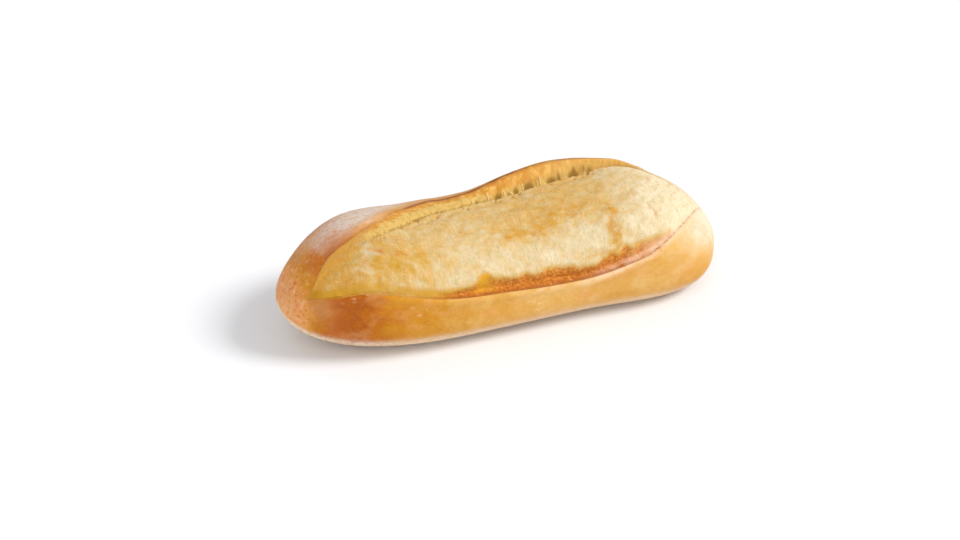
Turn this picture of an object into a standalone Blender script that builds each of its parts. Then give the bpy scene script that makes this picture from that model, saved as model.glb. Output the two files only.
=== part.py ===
"""Potato ciabatta: one baked loaf, opened by a single long cut.

The loaf lies along X, its slimmer end towards -X and its blunt end towards +X,
with the front of the cut towards -Y and its base on z = 0. A slice of the uncut
loaf is worked out at each station along it. The cut is then shaped on that
slice: a rolled rim and a torn band in front, the risen crumb between, and the
lifted lip of crust behind with its groove of pores.
"""
import math

import bmesh
import bpy
import numpy as np

MM = 0.001

# ---- Driving dimensions of the uncut loaf, in millimetres ----
LENGTH = 280.0
STATIONS = (-1.0, -0.7, -0.35, 0.0, 0.35, 0.7, 1.0)    # -1 slim end, +1 blunt end
FRONT_HALF_WIDTH = (50.0, 54.8, 54.0, 53.0, 53.8, 58.5, 64.5)
BACK_HALF_WIDTH = (54.0, 57.0, 54.5, 53.5, 54.6, 57.5, 61.0)
WIDEST_LEVEL = (29.5, 29.0, 26.4, 24.7, 24.0, 24.4, 23.0)
CROWN_ABOVE_WIDEST = (32.0, 43.5, 38.4, 36.6, 38.2, 39.4, 38.0)
SIDE_BEND = (-4.0, 1.0, 1.0, 1.8, 2.8, 0.0, -3.0)
# The round underside passes this far below the flat base: the base is a little waisted
BASE_SINK = (5.6, 5.6, 3.0, 2.6, 2.9, 4.4, 5.4)
BASE_ENDS = (-84.0, 90.0)    # the base is flat between these x, and rises past them
BASE_RISE = 0.17
UPPER_FULLNESS = 2.4     # 2 is an ellipse, more is boxier
LOWER_FULLNESS = 2.7
# How late each outline starts to close: (slim end, blunt end)
WIDTH_CLOSING = (2.95, 4.6)
CROWN_CLOSING = (2.6, 5.0)
UNDERSIDE_CLOSING = (3.2, 7.6)

# ---- The cut. Angles go round the slice: -90 front, 0 top, 90 back ----
# station, front rim deg, groove deg, lip deg, torn band mm, lip lift mm, swell mm
CUT = np.array((
    (-0.92, -51.0, -51.0, -51.0, 0.5, 0.0, 0.0),
    (-0.82, -60.5, -27.5, -17.0, 0.5, 0.0, 0.0),
    (-0.70, -63.0, -16.7, -4.8, 0.6, 0.0, 0.0),
    (-0.50, -70.4, -5.2, 8.0, 0.9, 0.5, 0.0),
    (-0.30, -75.2, 3.5, 18.0, 4.0, 1.0, 0.0),
    (-0.10, -77.0, 8.0, 20.5, 7.2, 1.8, 0.0),
    (0.10, -79.4, 12.0, 22.0, 9.2, 8.8, 0.0),
    (0.30, -79.6, 15.5, 24.5, 7.6, 11.8, 0.0),
    (0.45, -75.1, 19.5, 27.0, 9.8, 10.0, 0.2),
    (0.58, -68.5, 23.0, 29.0, 7.4, 7.2, 1.4),
    (0.70, -54.0, 23.0, 28.0, 2.6, 4.2, 1.4),
    (0.80, -39.5, 16.0, 20.0, 1.4, 0.3, 0.4),
    (0.93, -19.0, -15.0, -12.0, 0.5, 0.0, 0.0),
))
OPEN_FROM = 3.0          # a cut narrower than this is closed
OPEN_FULL = 30.0         # a cut wider than this has its full relief
SPREAD_OUT = 40.0        # in a cut narrower than this the steps draw together
RIM_ROLL = (16.0, 6.0, 1.8)   # the crust starts to roll, rolls, and crests this far below
RIM_BEAD = 1.1           # height of the roll's crest
RIM_STEP = 0.7           # drop from the rim to the crumb
BAND_FOOT = 1.4          # the drop is this far above the rim
BAND_DEPTH = 1.7         # further drop where the band is torn
BAND_TORN = (1.5, 6.0)   # band heights where it starts to be torn, and is fully
BAND_LEAST = 1.6         # height of the step where the band isn't torn
BAND_RAGGED = 0.16       # its top wavers by this share of its height
RAGGED_LENGTH = 5.0
FLAKE_STATION = -0.19    # a flake torn up above the band
FLAKE_RISE = 4.8
FLAKE_HALF_LENGTH = 0.045
CRUMB_EDGE = 4.0         # the crumb turns over from band to top in this distance
CRUMB_SWELL = 0.8        # the risen crumb bulges this far
GROOVE_SIDES = (6.0, 1.6, 1.8)   # it dips from here, turns in, and turns out past its foot
GROOVE_DEPTH = 2.2
GROOVE_ENDS = (0.68, 0.84)   # the groove runs out between these stations
LIP_EDGE = 1.0           # thickness of the lip's crust edge
LIP_STANDS = 0.3
# (distance behind the lip, share of its lift that is left)
LIP_FALL = ((0.0, 1.0), (2.5, 0.96), (10.0, 0.66), (20.0, 0.32), (32.0, 0.08), (44.0, 0.0))

# ---- Pores along the foot of the lip, and crags ----
SEED = 11
PORE_STATIONS = (-0.62, 0.66)
PORE_COUNT = 23
PORE_RADIUS = (1.5, 3.4)
PORE_DEPTH = (0.9, 2.6)
PORE_PAST_GROOVE = (1.0, 2.6)
# Crags: (height, length along the loaf, length round it)
CRUMB_CRAGS = (0.55, 8.0, 6.0)
CRUMB_GRAIN = (0.33, 3.6, 3.4)
BAND_CRAGS = (0.8, 4.5, 3.0)
CRUST_DENTS = (0.45, 26.0, 22.0)
BASE_CALM = (0.5, 8.0)   # relief fades out between these heights
END_CALM = (8.0, 8.0)    # and towards the tips

# ---- Mesh ----
RINGS = 94               # along the loaf, poles included
ROWS_BASE = 4            # from the base's middle to its edge, on each side
ROWS_FRONT = 10
ROWS_CRUMB = 15
ROWS_BEHIND = 11
BASE_SHARE = (0.03, 0.16)    # least and most of the girth from the base's middle to its edge
FULL_GIRTH = 140.0       # rows close up in proportion on slices smaller than this
LEAST_OPENING = 9.0      # the cut's rows stay at least this far apart in all
BAND_ROWS = (0.3, 0.7)   # shares of the band's height
WALL_ROWS = (0.0, 0.25, 0.5, 0.85, 1.0)   # shares of the way from groove to lip
PAST_LIP = 3.0           # the next row after the lip
SLICE_POINTS = 1441
SHARP_ANGLE = 45.0
CRUST_COLOUR = (0.60, 0.31, 0.10, 1.0)
CRUST_ROUGHNESS = 0.62


def clear_scene():
    for item in list(bpy.data.objects):
        bpy.data.objects.remove(item, do_unlink=True)


def curve(at, knots, values):
    """A smooth curve through the values at the knots."""
    knots = np.asarray(knots, float)
    values = np.asarray(values, float)
    at = np.clip(np.asarray(at, float), knots[0], knots[-1])
    slope = np.gradient(values, knots)
    i = np.clip(np.searchsorted(knots, at, side="right") - 1, 0, len(knots) - 2)
    span = knots[i + 1] - knots[i]
    u = (at - knots[i]) / span
    start = (2 * u**3 - 3 * u**2 + 1) * values[i] + (u**3 - 2 * u**2 + u) * span * slope[i]
    end = (3 * u**2 - 2 * u**3) * values[i + 1] + (u**3 - u**2) * span * slope[i + 1]
    return start + end


def ramp(value, low, high):
    """0 below low, 1 above high, and smooth between."""
    u = np.clip((value - low) / (high - low), 0.0, 1.0)
    return u * u * (3 - 2 * u)


def signed_power(value, power):
    return np.sign(value) * np.abs(value) ** power


def closing(station, powers):
    """1 along the middle of the loaf, falling roundly to 0 at its two ends."""
    power = powers[0] if station < 0 else powers[1]
    return math.sqrt(max(1.0 - abs(station) ** power, 0.0))


def lattice_noise(u, v, seed):
    """Smooth noise from -1 to 1 with about one swing for each unit of u and v."""
    table = np.random.default_rng(seed).uniform(-1.0, 1.0, (64, 64))
    column = np.floor(u).astype(int)
    row = np.floor(v).astype(int)
    fu = ramp(u - column, 0.0, 1.0)
    fv = ramp(v - row, 0.0, 1.0)
    low = table[column % 64, row % 64] * (1 - fu) + table[(column + 1) % 64, row % 64] * fu
    high = (table[column % 64, (row + 1) % 64] * (1 - fu)
            + table[(column + 1) % 64, (row + 1) % 64] * fu)
    return low * (1 - fv) + high * fv


def sole_height(station):
    """Height of the underside's lowest line: 0 along the flat base, rising past its two ends."""
    x = station * LENGTH / 2
    return BASE_RISE * max(BASE_ENDS[0] - x, x - BASE_ENDS[1], 0.0)


def uncut_slice(station):
    """The slice's girth angles, its distances round from the base's middle, y, z and normals."""
    angle = np.linspace(-math.pi, math.pi, SLICE_POINTS)
    width = np.where(angle < 0, curve(station, STATIONS, FRONT_HALF_WIDTH),
                     curve(station, STATIONS, BACK_HALF_WIDTH))
    width = width * closing(station, WIDTH_CLOSING)
    middle = curve(station, STATIONS, WIDEST_LEVEL)
    crown = curve(station, STATIONS, CROWN_ABOVE_WIDEST) * closing(station, CROWN_CLOSING)
    depth = (middle + curve(station, STATIONS, BASE_SINK)) * closing(station, UNDERSIDE_CLOSING)
    upper = np.cos(angle) >= 0
    power = np.where(upper, 2 / UPPER_FULLNESS, 2 / LOWER_FULLNESS)
    y = curve(station, STATIONS, SIDE_BEND) + width * signed_power(np.sin(angle), power)
    z = middle + np.where(upper, crown, depth) * signed_power(np.cos(angle), power)
    z = np.maximum(z, sole_height(station))
    round_by = np.concatenate(([0.0], np.cumsum(np.hypot(np.diff(y), np.diff(z)))))
    slope_y = np.gradient(y)
    slope_z = np.gradient(z)
    size = np.maximum(np.hypot(slope_y, slope_z), 1e-9)
    return angle, round_by, y, z, -slope_z / size, slope_y / size


def cut_at(station, angle, round_by):
    """The cut's lines on this slice, as distances round it, and its sizes there."""
    rim_deg, groove_deg, lip_deg, band, lift, swell = (
        float(curve(station, CUT[:, 0], CUT[:, k])) for k in range(1, 7))
    rim, groove, lip = (float(np.interp(math.radians(a), angle, round_by))
                        for a in (rim_deg, groove_deg, lip_deg))
    flake = FLAKE_RISE * math.exp(-((station - FLAKE_STATION) / FLAKE_HALF_LENGTH) ** 2)
    waver = lattice_noise(np.array(station * LENGTH / 2 / RAGGED_LENGTH), np.array(0.0), SEED + 3)
    near = min(1.0, max(lip - rim, 1.0) / SPREAD_OUT)
    height = (band + flake) * (1.0 + BAND_RAGGED * float(waver))
    return {
        "rim": rim, "groove": groove, "lip": lip, "near": near,
        "band_top": rim + max(height, BAND_LEAST * near),
        "open": float(ramp(lip - rim, OPEN_FROM, OPEN_FULL)),
        "grooved": 1.0 - float(ramp(station, *GROOVE_ENDS)),
        "torn": float(ramp(band, *BAND_TORN)),
        "lift": max(lift, 0.0), "swell": swell,
    }


def rising(positions):
    """The same positions, made to increase where the cut is too narrow for them."""
    return np.maximum.accumulate(positions) + np.arange(len(positions)) * 0.05


def cut_relief(cut, at):
    """How far the surface stands out from the uncut loaf, along its normal."""
    rim, top, groove, lip, near = (cut[k] for k in ("rim", "band_top", "groove", "lip", "near"))
    band = top - rim
    torn = cut["torn"]
    swell = cut["swell"]
    step = RIM_STEP + BAND_DEPTH * torn
    depth = GROOVE_DEPTH * cut["grooved"]
    stands = LIP_STANDS * cut["grooved"]
    dips, turns_in, turns_out = (side * near for side in GROOVE_SIDES)
    profile = (
        (rim - RIM_ROLL[0], 0.0),
        (rim - RIM_ROLL[1], 0.2 * RIM_BEAD),
        (rim - RIM_ROLL[2] * near, RIM_BEAD),
        (rim, 0.3 * RIM_BEAD),
        (rim + min(BAND_FOOT, band * BAND_ROWS[0]), -step),
        (rim + band * BAND_ROWS[1], -0.6 * step),
        (top, torn - 0.3),
        (top + CRUMB_EDGE * near, 0.6 * torn + 0.2),
        ((top + groove) / 2, CRUMB_SWELL + 0.3 * swell),
        (groove - dips, swell),
        (groove - turns_in, swell - 0.3),
        (groove, swell - 0.3 - depth),
        (groove + turns_out, 0.5 * swell - 0.2 - 0.7 * depth),
        ((groove + lip) / 2, -stands),
        (lip - LIP_EDGE * near, 0.0),
        (lip, stands),
        (lip + PAST_LIP, 0.7 * stands),
        (lip + LIP_FALL[2][0], 0.0),
    )
    return curve(at, rising([p[0] for p in profile]), [p[1] for p in profile]) * cut["open"]


def lip_lift(cut, at):
    """How far the crust behind the groove is raised, straight up."""
    groove, lip, near = (cut[k] for k in ("groove", "lip", "near"))
    wall = (
        (groove - GROOVE_SIDES[1] * near, 0.0),
        (groove, 0.02),
        (groove + GROOVE_SIDES[2] * near, 0.14),
        ((groove + lip) / 2, 0.5),
        (lip - LIP_EDGE * near, 0.94),
    )
    profile = wall + tuple((lip + behind, share) for behind, share in LIP_FALL)
    return curve(at, rising([p[0] for p in profile]), [p[1] for p in profile]) * cut["lift"]


def pores():
    """(x, distance past the groove, radius, depth) of each pore."""
    rng = np.random.default_rng(SEED)
    made = []
    for k in range(PORE_COUNT):
        along = (k + rng.uniform(0.2, 0.8)) / PORE_COUNT
        station = PORE_STATIONS[0] + (PORE_STATIONS[1] - PORE_STATIONS[0]) * along
        grown = ramp(along, 0.2, 0.75)
        radius = PORE_RADIUS[0] + (PORE_RADIUS[1] - PORE_RADIUS[0]) * grown
        depth = PORE_DEPTH[0] + (PORE_DEPTH[1] - PORE_DEPTH[0]) * grown
        radius *= rng.uniform(0.75, 1.15)
        made.append((station * LENGTH / 2, rng.uniform(*PORE_PAST_GROOVE), radius, depth))
    return made


def crags(cut, x, at):
    """Small relief: craggy crumb and band, and slow dents in the crust."""
    def bumps(crag, seed):
        height, along, across = crag
        return height * lattice_noise(np.full_like(at, x / along), (at - cut["rim"]) / across, seed)

    past_rim = ramp(at, cut["rim"], cut["rim"] + BAND_FOOT)
    past_lip = ramp(at, cut["lip"] - LIP_EDGE, cut["lip"])
    past_band = ramp(at, cut["band_top"] - LIP_EDGE, cut["band_top"] + LIP_EDGE)
    inside = past_rim * (1 - past_lip) * cut["open"]
    crumb = bumps(CRUMB_CRAGS, SEED + 1) + bumps(CRUMB_GRAIN, SEED + 2)
    relief = inside * (crumb * past_band + bumps(BAND_CRAGS, SEED + 4) * (1 - past_band))
    return relief + bumps(CRUST_DENTS, SEED + 5) * (1 - inside)


def base_edges(station, round_by, z):
    """Distances round the slice at which its base ends, in front and behind."""
    base = np.flatnonzero(z <= sole_height(station) + 1e-9)
    total = round_by[-1]
    half = len(z) // 2
    front = round_by[base[base < half].max()] if (base < half).any() else 0.0
    back = round_by[base[base > half].min()] if (base > half).any() else total
    return (min(max(front, BASE_SHARE[0] * total), BASE_SHARE[1] * total),
            total - min(max(total - back, BASE_SHARE[0] * total), BASE_SHARE[1] * total))


def row_distances(cut, edges, total):
    """Where the mesh's rows lie round the slice, from the base's middle and back to it."""
    scale = min(1.0, total / FULL_GIRTH)
    spread = 0.5 * max(LEAST_OPENING * scale - (cut["lip"] - cut["rim"]), 0.0)
    rim, lip = cut["rim"] - spread, cut["lip"] + spread
    width = lip - rim
    top = min(max(cut["band_top"], rim + 0.12 * width), rim + 0.35 * width)
    groove = min(max(cut["groove"], rim + 0.6 * width), lip - 0.1 * min(width, 20.0))
    before_rim = rim - RIM_ROLL[2] * scale
    past_lip = lip + PAST_LIP * scale
    marks = [before_rim, rim] + [rim + share * (top - rim) for share in BAND_ROWS]
    crumb = np.linspace(top, groove - min(GROOVE_SIDES[1], 0.1 * (groove - top)), ROWS_CRUMB)
    wall = [groove + share * (lip - groove) for share in WALL_ROWS]
    front_base = np.linspace(0.0, edges[0], ROWS_BASE + 1)[:-1]
    front = np.linspace(edges[0], before_rim, ROWS_FRONT + 1)[:-1]
    back = np.linspace(past_lip, edges[1], ROWS_BEHIND + 1)[:-1]
    back_base = np.linspace(edges[1], total, ROWS_BASE + 1)[:-1]
    return np.concatenate((front_base, front, marks, crumb, wall, back, back_base))


def slice_points(station, pore_list):
    """The finished slice's points (x, y, z), one for each row."""
    angle, round_by, y, z, normal_y, normal_z = uncut_slice(station)
    cut = cut_at(station, angle, round_by)
    at = row_distances(cut, base_edges(station, round_by, z), round_by[-1])
    x = station * LENGTH / 2
    out = cut_relief(cut, at) + crags(cut, x, at) * closing(station, END_CALM)
    for pore_x, past_groove, radius, depth in pore_list:
        away = ((x - pore_x) / radius) ** 2 + ((at - cut["groove"] - past_groove) / radius) ** 2
        out = out - depth * cut["open"] * np.exp(-away)
    base_z = np.interp(at, round_by, z)
    out = out * ramp(base_z, *BASE_CALM)
    new_y = np.interp(at, round_by, y) + out * np.interp(at, round_by, normal_y)
    new_z = base_z + out * np.interp(at, round_by, normal_z) + lip_lift(cut, at)
    return np.stack([np.full_like(at, x), new_y, np.maximum(new_z, 0.0)], axis=1)


def loaf_mesh():
    """A sphere's rings, its poles at the loaf's two ends, moved onto the loaf."""
    pore_list = pores()
    rings = [
        slice_points(math.sin((k / (RINGS - 1) - 0.5) * math.pi), pore_list)
        for k in range(1, RINGS - 1)
    ]
    rows = len(rings[0])
    tips = [(end * LENGTH / 2, float(curve(end, STATIONS, SIDE_BEND)),
             float(curve(end, STATIONS, WIDEST_LEVEL))) for end in (-1.0, 1.0)]
    bm = bmesh.new()
    bmesh.ops.create_uvsphere(bm, u_segments=rows, v_segments=RINGS - 1, radius=1.0)
    for vert in bm.verts:
        ring = round(math.acos(max(-1.0, min(1.0, vert.co.z))) / math.pi * (RINGS - 1))
        if ring in (0, RINGS - 1):
            vert.co = tips[0 if ring == 0 else 1]
            continue
        row = round(math.atan2(vert.co.y, vert.co.x) / (2 * math.pi) * rows) % rows
        vert.co = rings[ring - 1][row]
    bm.normal_update()
    bmesh.ops.recalc_face_normals(bm, faces=bm.faces)
    bmesh.ops.triangulate(bm, faces=bm.faces, quad_method="BEAUTY")
    mesh = bpy.data.meshes.new("loaf")
    bm.to_mesh(mesh)
    bm.free()
    return mesh


def centre_on_base(mesh):
    """To metres, with the origin at the middle of the box, on the base."""
    points = np.array([v.co[:] for v in mesh.vertices])
    low, high = points.min(axis=0), points.max(axis=0)
    shift = np.array([(low[0] + high[0]) / 2, (low[1] + high[1]) / 2, low[2]])
    mesh.vertices.foreach_set("co", ((points - shift) * MM).ravel())
    mesh.update()


def crust_material():
    material = bpy.data.materials.new("crust")
    material.use_nodes = True
    material.diffuse_color = CRUST_COLOUR
    shader = material.node_tree.nodes["Principled BSDF"]
    shader.inputs["Base Color"].default_value = CRUST_COLOUR
    shader.inputs["Roughness"].default_value = CRUST_ROUGHNESS
    shader.inputs["Metallic"].default_value = 0.0
    return material


def make_loaf():
    mesh = loaf_mesh()
    centre_on_base(mesh)
    mesh.materials.append(crust_material())
    mesh.shade_smooth()
    mesh.set_sharp_from_angle(angle=math.radians(SHARP_ANGLE))
    loaf = bpy.data.objects.new("loaf", mesh)
    bpy.context.scene.collection.objects.link(loaf)
    return loaf


clear_scene()
make_loaf()
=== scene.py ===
"""Potato ciabatta: the looks of one baked loaf, opened by a single long cut.

The loaf's body is worked out slice by slice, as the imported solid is, but finely
enough to carry the crumb's streaks, the torn band and the pores under the lip.
What repeats on it is grown by node trees: the fine grain of crust and crumb,
the strands that hold the lip, torn flakes, toasted specks and grains of flour.
"""
import functools
import math
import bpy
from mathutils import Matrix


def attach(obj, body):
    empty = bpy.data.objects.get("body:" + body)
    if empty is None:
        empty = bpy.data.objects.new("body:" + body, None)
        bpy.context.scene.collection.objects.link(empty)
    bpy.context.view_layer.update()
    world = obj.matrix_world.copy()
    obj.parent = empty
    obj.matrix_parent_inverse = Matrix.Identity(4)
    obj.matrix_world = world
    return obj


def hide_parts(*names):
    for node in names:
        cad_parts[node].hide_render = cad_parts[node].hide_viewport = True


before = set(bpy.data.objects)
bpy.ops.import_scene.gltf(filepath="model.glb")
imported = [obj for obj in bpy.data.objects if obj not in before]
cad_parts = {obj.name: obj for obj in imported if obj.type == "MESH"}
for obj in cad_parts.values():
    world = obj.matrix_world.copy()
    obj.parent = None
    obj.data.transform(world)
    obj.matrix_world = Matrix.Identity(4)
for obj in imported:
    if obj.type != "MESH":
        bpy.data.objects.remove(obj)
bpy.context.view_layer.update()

from types import SimpleNamespace

import bpy
import numpy as np
from mathutils import Vector

MM = 0.001
NEARLY_NOTHING = 1e-9
NOISE_CELLS = 64

# ---- The uncut loaf, in millimetres ----
LENGTH = 280
STATIONS = (-1, -0.7, -0.35, 0, 0.35, 0.7, 1)  # -1 slim end, +1 blunt end
FRONT_HALF_WIDTH = (50, 54.8, 54, 53, 53.8, 58.5, 64.5)
BACK_HALF_WIDTH = (54, 57, 54.5, 53.5, 54.6, 57.5, 61)
WIDEST_LEVEL = (29.5, 29, 26.4, 24.7, 24, 24.4, 23)
CROWN_ABOVE_WIDEST = (32, 43.5, 38.4, 36.6, 38.2, 39.4, 38)
SIDE_BEND = (-4, 1, 1, 1.8, 2.8, 0, -3)
BASE_SINK = (5.6, 5.6, 3, 2.6, 2.9, 4.4, 5.4)
BASE_ENDS = (-84, 90)
BASE_RISE = 0.17
UPPER_FULLNESS = 2.4
LOWER_FULLNESS = 2.7
WIDTH_CLOSING = (2.95, 4.6)
CROWN_CLOSING = (2.6, 5)
UNDERSIDE_CLOSING = (3.2, 7.6)
AXIS_OFF_CENTRE = 2.221  # the slices' own middle lies this far in front of the box's

# ---- The cut ----
# station, front rim deg, groove deg, lip deg, torn band mm, lip lift mm, swell mm
CUT = np.array((
    (-0.92, -51, -51, -51, 0.5, 0, 0), (-0.82, -60.5, -27.5, -17, 0.5, 0, 0),
    (-0.7, -63, -16.7, -4.8, 0.6, 0, 0), (-0.5, -70.4, -5.2, 8, 0.9, 0.5, 0),
    (-0.3, -75.2, 3.5, 18, 4, 1, 0), (-0.1, -77, 8, 20.5, 7.2, 1.8, 0),
    (0.1, -79.4, 12, 22, 9.2, 8.8, 0), (0.3, -79.6, 15.5, 24.5, 7.6, 11.8, 0),
    (0.45, -75.1, 19.5, 27, 9.8, 10, 0.2), (0.58, -68.5, 23, 29, 7.4, 7.2, 1.4),
    (0.7, -54, 23, 28, 2.6, 4.2, 1.4), (0.8, -39.5, 16, 20, 1.4, 0.3, 0.4),
    (0.93, -19, -15, -12, 0.5, 0, 0),
))
OPENS = (3, 30)  # mm between rim and lip at which the relief starts and is full
SPREAD_OUT = 40
RIM_ROLL = (16, 6, 1.8)
RIM_BEAD = 1.1
RIM_STEP = 0.7
BAND_FOOT = 1.4
BAND_DEPTH = 1.7
BAND_TORN = (1.5, 6)
BAND_LEAST = 1.6
BAND_RAGGED = 0.16
RAGGED_LENGTH = 5
BAND_TATTERS = (0.35, 2.6)  # finer ragged edge: height and length of its teeth
FLAKE_STATION = -0.19
FLAKE_RISE = 4.8
FLAKE_HALF_LENGTH = 0.045
CRUMB_EDGE = 4
CRUMB_SWELL = 0.8
GROOVE_SIDES = (6, 1.6, 1.8)
GROOVE_DEPTH = 2.2
GROOVE_ENDS = (0.68, 0.84)
GROOVE_STARTS = (-0.7, -0.54)
LIP_EDGE = 1
LIP_STANDS = 0.3
LIP_FALL = ((0, 1), (2.5, 0.96), (10, 0.66), (20, 0.32), (32, 0.08), (44, 0))
LIP_WAVER = (0.35, 7)  # the lip's crest wavers: height and length
CRUST_LAPS = (-80, 15, 5.5)  # x and half length where the crust's tone laps over, and by mm

# ---- Pores and crags ----
SEED = 11
# x, distance past the groove, half length, half height, depth
PORES = (
    (-85, -2.6, 1.2, 0.9, 0.5), (-71.5, -1, 1.5, 0.9, 0.6), (-65.5, 0.2, 1.9, 1, 0.8),
    (-58.6, 1.2, 2.3, 1.1, 0.9), (-49.6, 1.7, 3, 1.2, 1.1), (-45, 1.8, 1.4, 1, 0.8),
    (-37.6, 1.8, 1.9, 1.2, 1.1), (-26.2, 1.8, 2.4, 1.2, 1.2), (-18.2, 1.9, 2.8, 1.3, 1.5),
    (-12.2, 2, 1.8, 1.4, 1.7), (-7, 2.1, 2, 1.8, 2.1), (-1.6, 2, 2.4, 1.4, 1.2),
    (7.7, 2.4, 2.4, 2, 3), (14.6, 2.2, 1.2, 1.3, 1.2), (20.2, 2.4, 2.1, 1.6, 2.2),
    (29, 2.5, 3.4, 1.5, 2.6), (45.5, 2.4, 4, 0.95, 2.6), (50.8, 3.6, 0.9, 2.4, 0.7),
    (61.5, 2.4, 4.2, 1, 2.6), (73, 2.2, 3, 1.3, 1.4), (24, 7.5, 1.4, 1, 0.5),
    (30.2, 8.2, 1.4, 1, 0.5),
)
FINE_PORES = 120
FINE_PORE_STATIONS = (-0.6, 0.6)
FINE_PORE_RADIUS = (0.6, 1.3)
FINE_PORE_DEPTH = (0.4, 1)
FINE_PORE_PAST_GROOVE = (-7, 4)
PORE_SHADE_LEAST = 0.22  # how dark the painted shade in a pore is, and how much more for each mm of depth
PORE_SHADE_BY_DEPTH = 0.3
CRUMB_CRAGS = (0.55, 8, 6)
CRUMB_GRAIN = (0.33, 3.6, 3.4)
BAND_CRAGS = (0.8, 4.5, 3)
CRUST_DENTS = (0.45, 26, 22)
BLUNT_CALM = (62, 94, 0.82)  # between these x the crags fall by this share
BASE_CALM = (0.5, 8)
PORE_REACH = 14  # mm along the loaf past which a pore isn't felt
END_CALM = (8, 8)

# ---- Rings and rows of the body's mesh ----
RINGS = 560
RING_CROWDING = 0.6  # 0 spaces the rings evenly, 1 crowds them at the tips
# rows on the base, the front, the rim's roll, the band, the crumb, its turn into the groove,
# the lip's inner face, the lip, the back and the base again
ROWS = (6, 26, 4, 10, 60, 4, 14, 4, 30, 6)
ROWS_TO_GROOVE = sum(ROWS[:6])
PAST_LIP = 3
FULL_GIRTH = 140
LEAST_OPENING = 9
TOP_WITHIN = (0.12, 0.35)  # where the crumb's rows may start, as a share of the opening
GROOVE_WITHIN = (0.6, 0.1)  # and how far from its two edges they end
BASE_SHARE = (0.03, 0.16)
SLICE_POINTS = 1441
LEAST_STEP = 0.05  # mm between two places of a profile


def curve(at, knots, values):
    """A smooth curve through the values at the knots."""
    knots = np.asarray(knots, float)
    values = np.asarray(values, float)
    at = np.clip(np.asarray(at, float), knots[0], knots[-1])
    slope = np.gradient(values, knots)
    i = np.clip(np.searchsorted(knots, at, side="right") - 1, 0, len(knots) - 2)
    span = knots[i + 1] - knots[i]
    u = (at - knots[i]) / span
    start = (2 * u**3 - 3 * u**2 + 1) * values[i] + (u**3 - 2 * u**2 + u) * span * slope[i]
    end = (3 * u**2 - 2 * u**3) * values[i + 1] + (u**3 - u**2) * span * slope[i + 1]
    return start + end


def ramp(value, low, high):
    """0 below low, 1 above high, and smooth between."""
    u = np.clip((value - low) / (high - low), 0, 1)
    return u * u * (3 - 2 * u)


def fall(value, low, high):
    """1 below low, 0 above high, and smooth between."""
    return 1 - ramp(value, low, high)


def bump(value, middle, half):
    """1 at the middle, fading roundly to either side."""
    return np.exp(-((value - middle) / half) ** 2)


def signed_power(value, power):
    return np.sign(value) * np.abs(value) ** power


def closing(station, powers):
    """1 along the middle of the loaf, falling roundly to 0 at its two ends."""
    power = powers[0] if station < 0 else powers[1]
    return math.sqrt(max(1 - abs(station) ** power, 0))


@functools.lru_cache(maxsize=None)
def noise_table(seed):
    return np.random.default_rng(seed).uniform(-1.0, 1.0, (NOISE_CELLS, NOISE_CELLS))


def lattice_noise(u, v, seed):
    """Smooth noise from -1 to 1 with about one swing for each unit of u and v."""
    table = noise_table(seed)
    column = np.floor(u).astype(int)
    row = np.floor(v).astype(int)
    fu = ramp(u - column, 0, 1)
    fv = ramp(v - row, 0, 1)
    here, there = column % NOISE_CELLS, (column + 1) % NOISE_CELLS
    low, high = (table[here, at] * (1 - fu) + table[there, at] * fu
                 for at in (row % NOISE_CELLS, (row + 1) % NOISE_CELLS))
    return low * (1 - fv) + high * fv


def line_noise(x, length, seed, v=0.5):
    """The same noise along a line, at one place."""
    return lattice_noise(x / length, v, seed)


# ---- One slice of the loaf ----
def sole_height(station):
    """Height of the underside's lowest line: 0 along the flat base, rising past its two ends."""
    x = station * LENGTH / 2
    return BASE_RISE * max(BASE_ENDS[0] - x, x - BASE_ENDS[1], 0)


def uncut_slice(station):
    """The slice's girth angles, its distances round from the base's middle, y, z and normals."""
    angle = np.linspace(-math.pi, math.pi, SLICE_POINTS)
    front, back, middle, crown, bend, sink = (curve(station, STATIONS, sizes) for sizes in (
        FRONT_HALF_WIDTH, BACK_HALF_WIDTH, WIDEST_LEVEL, CROWN_ABOVE_WIDEST, SIDE_BEND, BASE_SINK))
    width = np.where(angle < 0, front, back) * closing(station, WIDTH_CLOSING)
    crown = crown * closing(station, CROWN_CLOSING)
    depth = (middle + sink) * closing(station, UNDERSIDE_CLOSING)
    upper = np.cos(angle) >= 0
    power = np.where(upper, 2 / UPPER_FULLNESS, 2 / LOWER_FULLNESS)
    y = bend + width * signed_power(np.sin(angle), power)
    z = middle + np.where(upper, crown, depth) * signed_power(np.cos(angle), power)
    z = np.maximum(z, sole_height(station))
    round_by = np.concatenate(([0], np.cumsum(np.hypot(np.diff(y), np.diff(z)))))
    slope_y = np.gradient(y)
    slope_z = np.gradient(z)
    size = np.maximum(np.hypot(slope_y, slope_z), NEARLY_NOTHING)
    return angle, round_by, y, z, -slope_z / size, slope_y / size


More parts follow.
